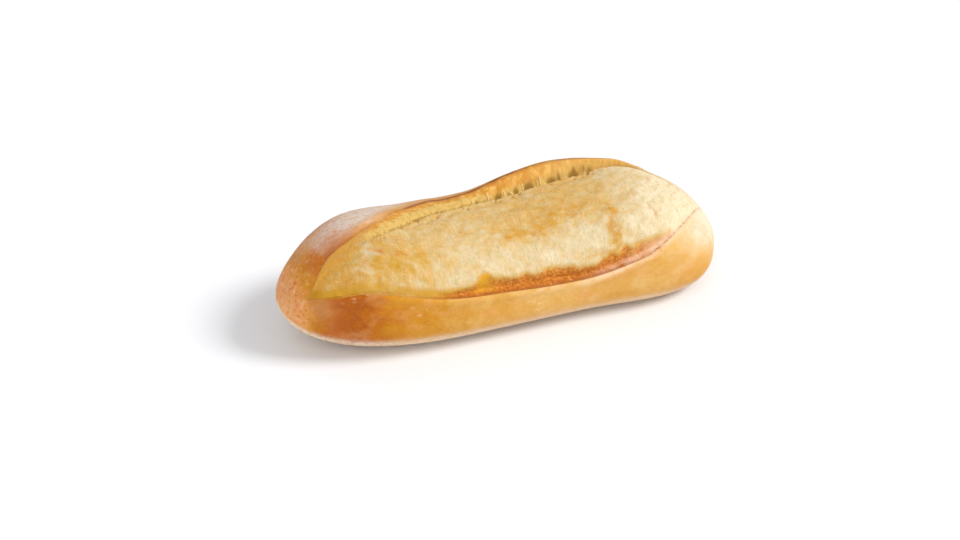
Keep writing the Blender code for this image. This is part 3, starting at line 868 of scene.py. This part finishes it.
def wall_tone(n, along, to_lip):
    """The lip's inner face: gold and pink under its brown edge, paler at its foot."""
    cloud = n.skin_noise(5, 5, 3, 0.6)
    strand = n.skin_noise(3, 4.6, 3, 0.6, 0.4)
    far, low = n.step(along, 20, 62), n.mask("wall_foot")
    ragged = n.plus(2.4, n.step(along, -45, -5), 3.6)
    edge = n.step(n.plus(to_lip, n.even(strand), ragged), 3, 0)
    return n.coats(
        n.blend(n.step(cloud, 0.42, 0.58), WALL_GOLD, WALL_PINK),
        (WALL_FOOT, far, 0.6),
        (WALL_CREAM, n.step(n.skin_noise(4.4, 3, 3, 0.6, 0.6), 0.45, 0.65), 0.68),
        (WALL_EDGE, edge, n.plus(0.8, far, -0.45)),
        (WALL_FOOT, n.step(n.plus(low, n.even(cloud), 1.6), 0.1, 0.9), 0.85),
        (WALL_OLIVE, n.step(n.skin_noise(2.2, 3, 3, 0.65), 0.5, 0.64), low, 0.7),
        (WALL_SPOT, n.step(n.skin_noise(1.6, 1.8, 3, 0.65), 0.58, 0.7), 0.55),
        (WALL_EDGE, n.step(strand, 0.42, 0.28), n.plus(0.55, far, -0.25)),
    )


def band_tone(n, along, past_rim, band_height):
    """The torn band: orange-brown, lighter crumbs, painted shade at its foot, painted highlight at
    the far end.
    """
    lump = n.math("SUBTRACT", n.skin_noise(2.2, 1.5, 3, 0.7), 0.05)
    # painted shade: the band darkens towards its foot, in the recess under the rim
    lighter = n.times(n.math("DIVIDE", past_rim, band_height), 0.14)
    tone = n.tones(n.math("ADD", lump, lighter), BAND_TONES)
    # near the blunt end the band takes on the rim's painted highlight
    return n.coats(tone, (RIM_HIGHLIGHT, n.step(along, 60, 96), 0.4))


def cut_tone(n, spot, crumb, wall, waver):
    """The tones of crust, crumb, the lip's inner face, the soft strip, the band and its flake."""
    along, past_rim, to_lip = n.place_in_mm()
    tone = n.blend(crumb, crust_tone(n, spot), crumb_tone(n, along))
    tone = n.coats(tone, (STRIP_GOLD, crumb, n.mask("soft_strip"), 0.92),
                   (wall_tone(n, along, to_lip), wall))
    tone = n.blend(n.times(n.mask("lip_shade"), crumb), tone, LIP_SHADE, way="MULTIPLY")
    torn, band_height = n.times(n.mask("torn"), crumb), n.mask("band_height")
    below_top = n.plus(n.math("SUBTRACT", band_height, past_rim), waver, 2.6)
    return n.coats(
        tone,
        (TOAST, n.step(below_top, -3.6, 0), torn, 0.7),
        (band_tone(n, along, past_rim, band_height), n.step(below_top, -0.8, 1.4), torn),
        (FLAKE_GOLD, n.mask("flake"), crumb),
    )


def cut_lines(n, tone, spot, crumb, waver):
    """What edges the cut: the rim's painted highlight and dark line, the lip's edge, scorches,
    groove and pore shade.
    """
    along, past_rim, _ = n.place_in_mm()
    line = n.times(n.step(past_rim, 1.5, 0.2), n.step(past_rim, -0.6, 0))
    dashes = n.step(n.skin_noise(3, 60), 0.4, 0.6)
    fade = n.times(n.step(along, 58, 96), n.plus(0.92, dashes, -0.6))
    slim_fade = n.plus(0.25, n.step(along, -80, -35), 0.75)
    broken = n.step(n.noise(spot, 110, 3, 0.6), 0.3, 0.58)
    dotted = n.step(n.skin_noise(2, 9), 0.36, 0.54)
    return n.coats(
        tone,
        # painted highlight along the rim
        (RIM_HIGHLIGHT, n.mask("rim_highlight"), n.step(n.noise(spot, 140, 3), 0.25, 0.6), 0.85),
        (RIM_SHADE, line, n.math("SUBTRACT", 1, fade), n.mask("apart"), 0.7, slim_fade),
        (RUSSET, n.mask("russet"), n.plus(0.6, broken, 0.4)),
        (LIP_BROWN, n.mask("lip_edge"), n.plus(0.35, broken, 0.6)),
        (SCORCH, n.mask("scorched"), n.step(waver, -0.25, 0.05)),
        # dotted painted shade along the groove
        (PAINTED_PORE_SHADE, n.mask("groove_shade"), dotted, 0.85, crumb),
        # painted shade in the pores
        (PAINTED_PORE_SHADE, n.step(n.mask("pore_shade"), 0.14, 0.74), 0.88),
    )


def bread_surface():
    """One finish for the whole loaf, mixed by its masks."""
    n = SurfaceWiring("baked_bread")
    spot = n.solid()
    _, past_rim, to_lip = n.place_in_mm()
    wobble = n.even(n.noise(spot, 800, 3, 0.7))
    waver = n.even(n.noise(spot, 260, 3, 0.7))
    over_rim = n.step(n.plus(past_rim, wobble, 1), -0.3, 0.3)
    under_lip = n.step(n.plus(to_lip, wobble, 1.2), -0.3, 0.3)
    crumb = n.times(over_rim, under_lip, n.mask("apart"))
    wall = n.times(n.mask("wall"), crumb, n.mask("grooved"))
    tone = cut_tone(n, spot, crumb, wall, waver)
    tone = cut_lines(n, tone, spot, crumb, waver)
    flour = n.mask("flour")
    dusty = n.times(flour, n.step(n.noise(spot, 300, 4, 0.75), 0.16, 0.62))
    thick = n.plus(flour, n.even(n.noise(spot, 45, 3, 0.6)), 0.9)
    dust = n.blend(n.step(thick, 0.35, 1.05), FLOUR_BLUSH, FLOUR_DUST)
    tone = n.blend(dusty, tone, n.blend(n.mask("foot"), dust, FOOT_DUST))
    roughness = n.plus(n.plus(0.56, crumb, 0.26), dusty, 0.25, clamp=True)
    wrinkle = n.relief(n.noise(spot, 150, 4, 0.6, 0.4), 0.0007, 0.55)
    pitted = n.relief(n.noise(spot, 650, 4, 0.65), 0.0003, 0.55, wrinkle)
    grainy = n.times(n.plus(crumb, wall, -0.65), n.mask("streaky"))
    grain = n.times(n.skin_noise(0.9, 3.2, 4, 0.7), grainy)
    return n.finish(tone, roughness, n.relief(grain, 0.0007, 0.8, pitted), gloss=0.16)


def grain_surface(name, light, dark, roughness):
    """A finish for small loose pieces, each a little different."""
    n = SurfaceWiring(name)
    spot = n.solid()
    tone = n.blend(n.step(n.noise(spot, 350), 0.35, 0.65), light, dark)
    return n.finish(tone, roughness, n.relief(n.noise(spot, 2500), 0.0002, 0.5))


# ---- Geometry node trees ----
class GrowthWiring(Wiring):
    """A geometry tree with named inputs, given by their kind. The last is its material."""

    def __init__(self, name, **inputs):
        super().__init__(bpy.data.node_groups.new(name, "GeometryNodeTree"))
        sockets = self.tree.interface
        sockets.new_socket("Geometry", in_out="OUTPUT", socket_type="NodeSocketGeometry")
        kinds = {"Geometry": ("Geometry",), **inputs, "Material": ("Material",)}
        for kind, labels in kinds.items():
            for label in labels:
                sockets.new_socket(label, in_out="INPUT", socket_type="NodeSocket" + kind)
        self.given = self.node("NodeGroupInput").node.outputs

    def mask(self, name, kind="FLOAT"):
        return self.node("GeometryNodeInputNamedAttribute", {"Name": name}, data_type=kind)

    def random(self, low, high, seed):
        """An even spread of numbers. Its inputs 2 and 3 and its output 1 are the plain ones."""
        return self.node("FunctionNodeRandomValue", {2: low, 3: high, "Seed": seed}, 1,
                         data_type="FLOAT")

    def moved(self, geometry, way, by):
        return self.node("GeometryNodeSetPosition", {
            "Geometry": geometry, "Offset": self.vector("SCALE", way, Scale=by)})

    def close(self, geometry):
        """Ends the tree: real mesh, with its material."""
        real = self.node("GeometryNodeRealizeInstances", {"Geometry": geometry})
        painted = self.node("GeometryNodeSetMaterial", {
            "Geometry": real, "Material": self.given["Material"]})
        self.node("NodeGroupOutput", {0: painted})
        return self.tree


def surface_grain_tree():
    """Raises the grain of crust and crumb: streaks, strands on the lip's inner face, dimples."""
    g = GrowthWiring("surface_grain", Float=(
        "Streak Height", "Streak Width", "Streak Length", "Strand Height", "Strand Spacing",
        "Dimple Height", "Dimple Size", "Seed"))
    given, place = g.given, g.mask("place", "FLOAT_VECTOR")

    def on_skin(width, length):
        cell = g.xyz(g.math("DIVIDE", 1, width), g.math("DIVIDE", 1, length))
        return g.vector("ADD", g.vector("MULTIPLY", place, cell), g.xyz(0, 0, given["Seed"]))

    def raised(pattern, height, where):
        return g.times(g.even(pattern), given[height], where)

    streak = g.noise(on_skin(given["Streak Width"], given["Streak Length"]), 1.0, 3.0, 0.6)
    spacing = given["Strand Spacing"]
    strand = g.noise(on_skin(spacing, g.times(spacing, STRAND_RATIO)), 1, 2, 0.5, 0.3)
    cell = g.vector("SCALE", g.node("GeometryNodeInputPosition"),
                    Scale=g.math("DIVIDE", 1.0, given["Dimple Size"]))
    crumb, wall = g.mask("crumb"), g.mask("wall")
    open_crumb = g.times(g.math("SUBTRACT", crumb, wall, clamp=True), g.mask("streaky"))
    crust = g.times(g.math("SUBTRACT", 1, crumb), g.mask("calm"))
    total = g.math("ADD", raised(streak, "Streak Height", open_crumb),
                   raised(strand, "Strand Height", g.times(wall, g.mask("ribbed"))))
    total = g.math("ADD", total, raised(g.noise(cell, 1.0, 3.0, 0.55), "Dimple Height", crust))
    return g.close(g.moved(given["Geometry"], g.node("GeometryNodeInputNormal"), total))


def scatter_tree():
    """Strews small uneven grains over the parts of a surface that a mask names."""
    g = GrowthWiring("strewn_grains", String=("Mask",), Int=("Facets", "Seed"), Float=(
        "Grains per Square Metre", "Smallest", "Largest", "Flatness", "Stretch", "Sunk"))
    given = g.given
    points = g.node("GeometryNodeDistributePointsOnFaces", {
        "Mesh": given["Geometry"], "Seed": given["Seed"],
        "Density": g.times(g.mask(given["Mask"]), given["Grains per Square Metre"])},
        distribute_method="RANDOM")
    grain = g.node("GeometryNodeMeshIcoSphere", {"Radius": 1, "Subdivisions": given["Facets"]})
    turn = g.node("FunctionNodeAxisAngleToRotation", {
        "Axis": (0, 0, 1), "Angle": g.random(0, 2 * math.pi, 3)})
    spin = g.node("FunctionNodeRotateRotation", {
        0: points.node.outputs["Rotation"], 1: turn}, rotation_space="LOCAL")
    size = g.random(given["Smallest"], given["Largest"], 4)
    shape = g.xyz(g.times(size, g.random(1, given["Stretch"], 5)), size,
                  g.times(size, given["Flatness"]))
    placed = g.node("GeometryNodeInstanceOnPoints", {
        "Points": points, "Instance": grain, "Rotation": spin, "Scale": shape})
    low = g.node("GeometryNodeTranslateInstances", {
        "Instances": placed, "Translation": g.xyz(0, 0, g.times(given["Sunk"], -1))})
    real = g.node("GeometryNodeRealizeInstances", {"Geometry": low})
    lump = g.noise(g.node("GeometryNodeInputPosition"),
                   g.math("DIVIDE", LUMPS_ACROSS, given["Largest"]), out="Color")
    lump = g.vector("SUBTRACT", lump, (0.5, 0.5, 0.5))
    return g.close(g.moved(real, lump, given["Smallest"]))


def strand_tree():
    """Thickens drawn lines into tapering strands."""
    g = GrowthWiring("pulled_strands", Float=("Thickness",), Int=("Sides",))
    lines = g.node("GeometryNodeMeshToCurve", {"Mesh": g.given["Geometry"]})
    sized = g.node("GeometryNodeSetCurveRadius", {
        "Curve": lines, "Radius": g.times(g.mask("thick"), g.given["Thickness"])})
    ring = g.node("GeometryNodeCurvePrimitiveCircle", {
        "Radius": 1, "Resolution": g.given["Sides"]}, mode="RADIUS")
    tube = g.node("GeometryNodeCurveToMesh", {
        "Curve": sized, "Profile Curve": ring, "Fill Caps": True,
        "Scale": g.node("GeometryNodeInputRadius")})
    return g.close(g.node("GeometryNodeSetShadeSmooth", {"Geometry": tube}))


def placed(name, data):
    """An object of that name in the scene."""
    made = bpy.data.objects.new(name, data)
    bpy.context.scene.collection.objects.link(made)
    return made


def grown(name, mesh, tree, inputs):
    """The mesh with the tree's growth on it, as a plain mesh in an object of that name."""
    source = placed(name + "_source", mesh)
    modifier = source.modifiers.new("growth", "NODES")
    modifier.node_group = tree
    for socket in tree.interface.items_tree:
        if socket.in_out == "INPUT" and socket.name != "Geometry":
            modifier[socket.identifier] = inputs[socket.name]
    evaluated = source.evaluated_get(bpy.context.evaluated_depsgraph_get())
    made = bpy.data.meshes.new_from_object(evaluated)
    bpy.data.objects.remove(source)
    made.name = name
    return placed(name, made)


# ---- Strands across the groove ----
# Pale bridges of stretched crumb stand between the pores, at these x
BRIDGES = (-9.8, 2.4, 11.4, 17.2, 24.2, 36.6, 54.4, 68)
STRAND_SPREAD = 0.9  # mm to either side of the bridge
STRAND_POINTS = 7
STRAND_LEAN = 1.5  # rings between its foot and its head, at most
STRAND_ROWS = ((0, 1), (4, 7.5))  # first and last row, counted from the groove
STRAND_BOW = np.array((0, -0.25, 0.3))  # how far its middle stands off, forwards and up
STRAND_SUNK = 0.9  # and how far its ends go in, as a share of that
STRAND_THICK = (0.6, 1.2)
STRAND_WAIST = 0.35  # how much thinner it is in the middle


def strand_lines(slices):
    """Open lines up the lip's inner face, their ends sunk and their middles just clear of it."""
    rng = np.random.default_rng(SEED + 20)
    ring_x = np.array([s[0][0, 0] for s in slices])
    points, edges, thick = [], [], []
    for bridge in BRIDGES:
        at_x = bridge + rng.uniform(-STRAND_SPREAD, STRAND_SPREAD)
        ring = int(np.searchsorted(ring_x, at_x))
        lean = rng.uniform(-STRAND_LEAN, STRAND_LEAN)
        low, high = (ROWS_TO_GROOVE + rng.uniform(*span) for span in STRAND_ROWS)
        size = rng.uniform(*STRAND_THICK)
        for k in range(STRAND_POINTS):
            t = k / (STRAND_POINTS - 1)
            on_ring = slices[int(np.clip(ring + round(lean * t), 1, len(slices) - 2))][0]
            row = low + (high - low) * t
            base = on_ring[int(row)] * (1 - row % 1) + on_ring[int(row) + 1] * (row % 1)
            if k:
                edges.append((len(points) - 1, len(points)))
            points.append(base + STRAND_BOW * (math.sin(math.pi * t) - STRAND_SUNK))
            thick.append(size * (1 - STRAND_WAIST * math.sin(math.pi * t)))
    mesh = bpy.data.meshes.new("strand_lines")
    mesh.from_pydata((np.array(points) * MM).tolist(), edges, [])
    set_masks(mesh, "thick", thick)
    return mesh


# ---- Stage, light and camera ----
CAMERA_TURN = -21.5  # degrees round from the loaf's long side
CAMERA_RISE = 31
CAMERA_AWAY = 1.178
CAMERA_AIM = Vector((0, 0, 0.0309))
CAMERA_LENS = 72
FILM_WIDTH = 36
PICTURE = (960, 540)
AIM_IN_PICTURE = (495.5, 251.3)
# degrees round from the picture's right, and up, then strength, spread in degrees and colour
KEY = (-5, 41, 2.3, 25, (1, 0.985, 0.96))
FILL = (-108, 24, 0.67, 70, (1, 1, 1))
ROOM_LIGHT = 0.67
FLOOR_TONES = ((0.846, 0.86, 0.893, 1), (0.856, 0.87, 0.903, 1))
FLOOR_HALF = 3


def add_facing(name, data, turn, rise):
    """Adds it with its back so many degrees round from the picture's right, and up."""
    turn, rise = math.radians(CAMERA_TURN + turn), math.radians(rise)
    back = Vector((math.cos(turn) * math.cos(rise), math.sin(turn) * math.cos(rise),
                   math.sin(rise)))
    made = placed(name, data)
    made.rotation_euler = back.to_track_quat("Z", "Y").to_euler()
    return made, back


def add_camera():
    data = bpy.data.cameras.new("camera")
    data.lens = CAMERA_LENS
    data.sensor_width = FILM_WIDTH
    data.shift_x = -(AIM_IN_PICTURE[0] - PICTURE[0] / 2) / PICTURE[0]
    data.shift_y = -(PICTURE[1] / 2 - AIM_IN_PICTURE[1]) / PICTURE[0]
    camera, back = add_facing("camera", data, -90, CAMERA_RISE)
    camera.location = CAMERA_AIM + back * CAMERA_AWAY
    bpy.context.scene.camera = camera


def add_light():
    for name, (turn, rise, strength, spread, colour) in (("key", KEY), ("fill", FILL)):
        data = bpy.data.lights.new(name, "SUN")
        data.energy = strength
        data.angle = math.radians(spread)
        data.color = colour
        add_facing(name, data, turn, rise)
    world = bpy.data.worlds.new("room")
    world.use_nodes = True
    room = world.node_tree.nodes["Background"]
    room.inputs["Color"].default_value = (1, 1, 1, 1)
    room.inputs["Strength"].default_value = ROOM_LIGHT
    bpy.context.scene.world = world
    bpy.context.scene.view_settings.view_transform = "Standard"


def add_floor():
    n = SurfaceWiring("pale_floor")
    tone = n.blend(n.noise(n.solid(), 3), *FLOOR_TONES)
    mesh = bpy.data.meshes.new("floor")
    corners = [(x * FLOOR_HALF, y * FLOOR_HALF, 0)
               for x, y in ((-1, -1), (1, -1), (1, 1), (-1, 1))]
    mesh.from_pydata(corners, [], [(0, 1, 2, 3)])
    mesh.materials.append(n.finish(tone, 0.9))
    placed("floor", mesh)


# ---- Making it ----
# All lengths here are in metres
GRAIN_INPUTS = ("Mask", "Grains per Square Metre", "Smallest", "Largest", "Flatness", "Stretch",
                "Sunk", "Facets", "Seed")
STREWN = (
    ("flour_grains", ("flour", 90000.0, 0.00009, 0.00020, 0.6, 1.5, 0.0, 1, 3),
     ("flour", shade(226, 212, 196), shade(212, 192, 172), 0.95)),
    ("torn_flakes", ("band", 45000.0, 0.00025, 0.0007, 0.22, 2.2, 0.0002, 2, 5),
     ("torn_crust", BAND_LIGHT, BAND_ORANGE, 0.7)),
    ("toasted_specks", ("toast", 50000.0, 0.00020, 0.00042, 0.35, 2.0, 0.0001, 1, 8),
     ("toasted_crumb", shade(206, 164, 92), shade(192, 136, 58), 0.8)),
)


def make_loaf():
    """The body and what grows on it."""
    slices, tips = body_grid()
    body = grown("loaf_body", body_mesh(slices, tips), surface_grain_tree(), {
        "Streak Height": 0.0006, "Streak Width": 1.4, "Streak Length": 5.0,
        "Strand Height": 0.00022, "Strand Spacing": 3.4, "Dimple Height": 0.00025,
        "Dimple Size": 0.003, "Seed": 4.0, "Material": bread_surface()})
    pieces = [body]
    strew = scatter_tree()
    for name, grains, finish in STREWN:
        pieces.append(grown(name, body.data, strew, {
            **dict(zip(GRAIN_INPUTS, grains)), "Material": grain_surface(*finish)}))
    pale = grain_surface("stretched_crumb", shade(226, 186, 116), WALL_FOOT, 0.6)
    pieces.append(grown("pulled_strands", strand_lines(slices), strand_tree(), {
        "Thickness": 0.00100, "Sides": 10, "Material": pale}))
    for piece in pieces:
        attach(piece, "root")
    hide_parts("loaf")


add_camera()
add_light()
add_floor()
make_loaf()
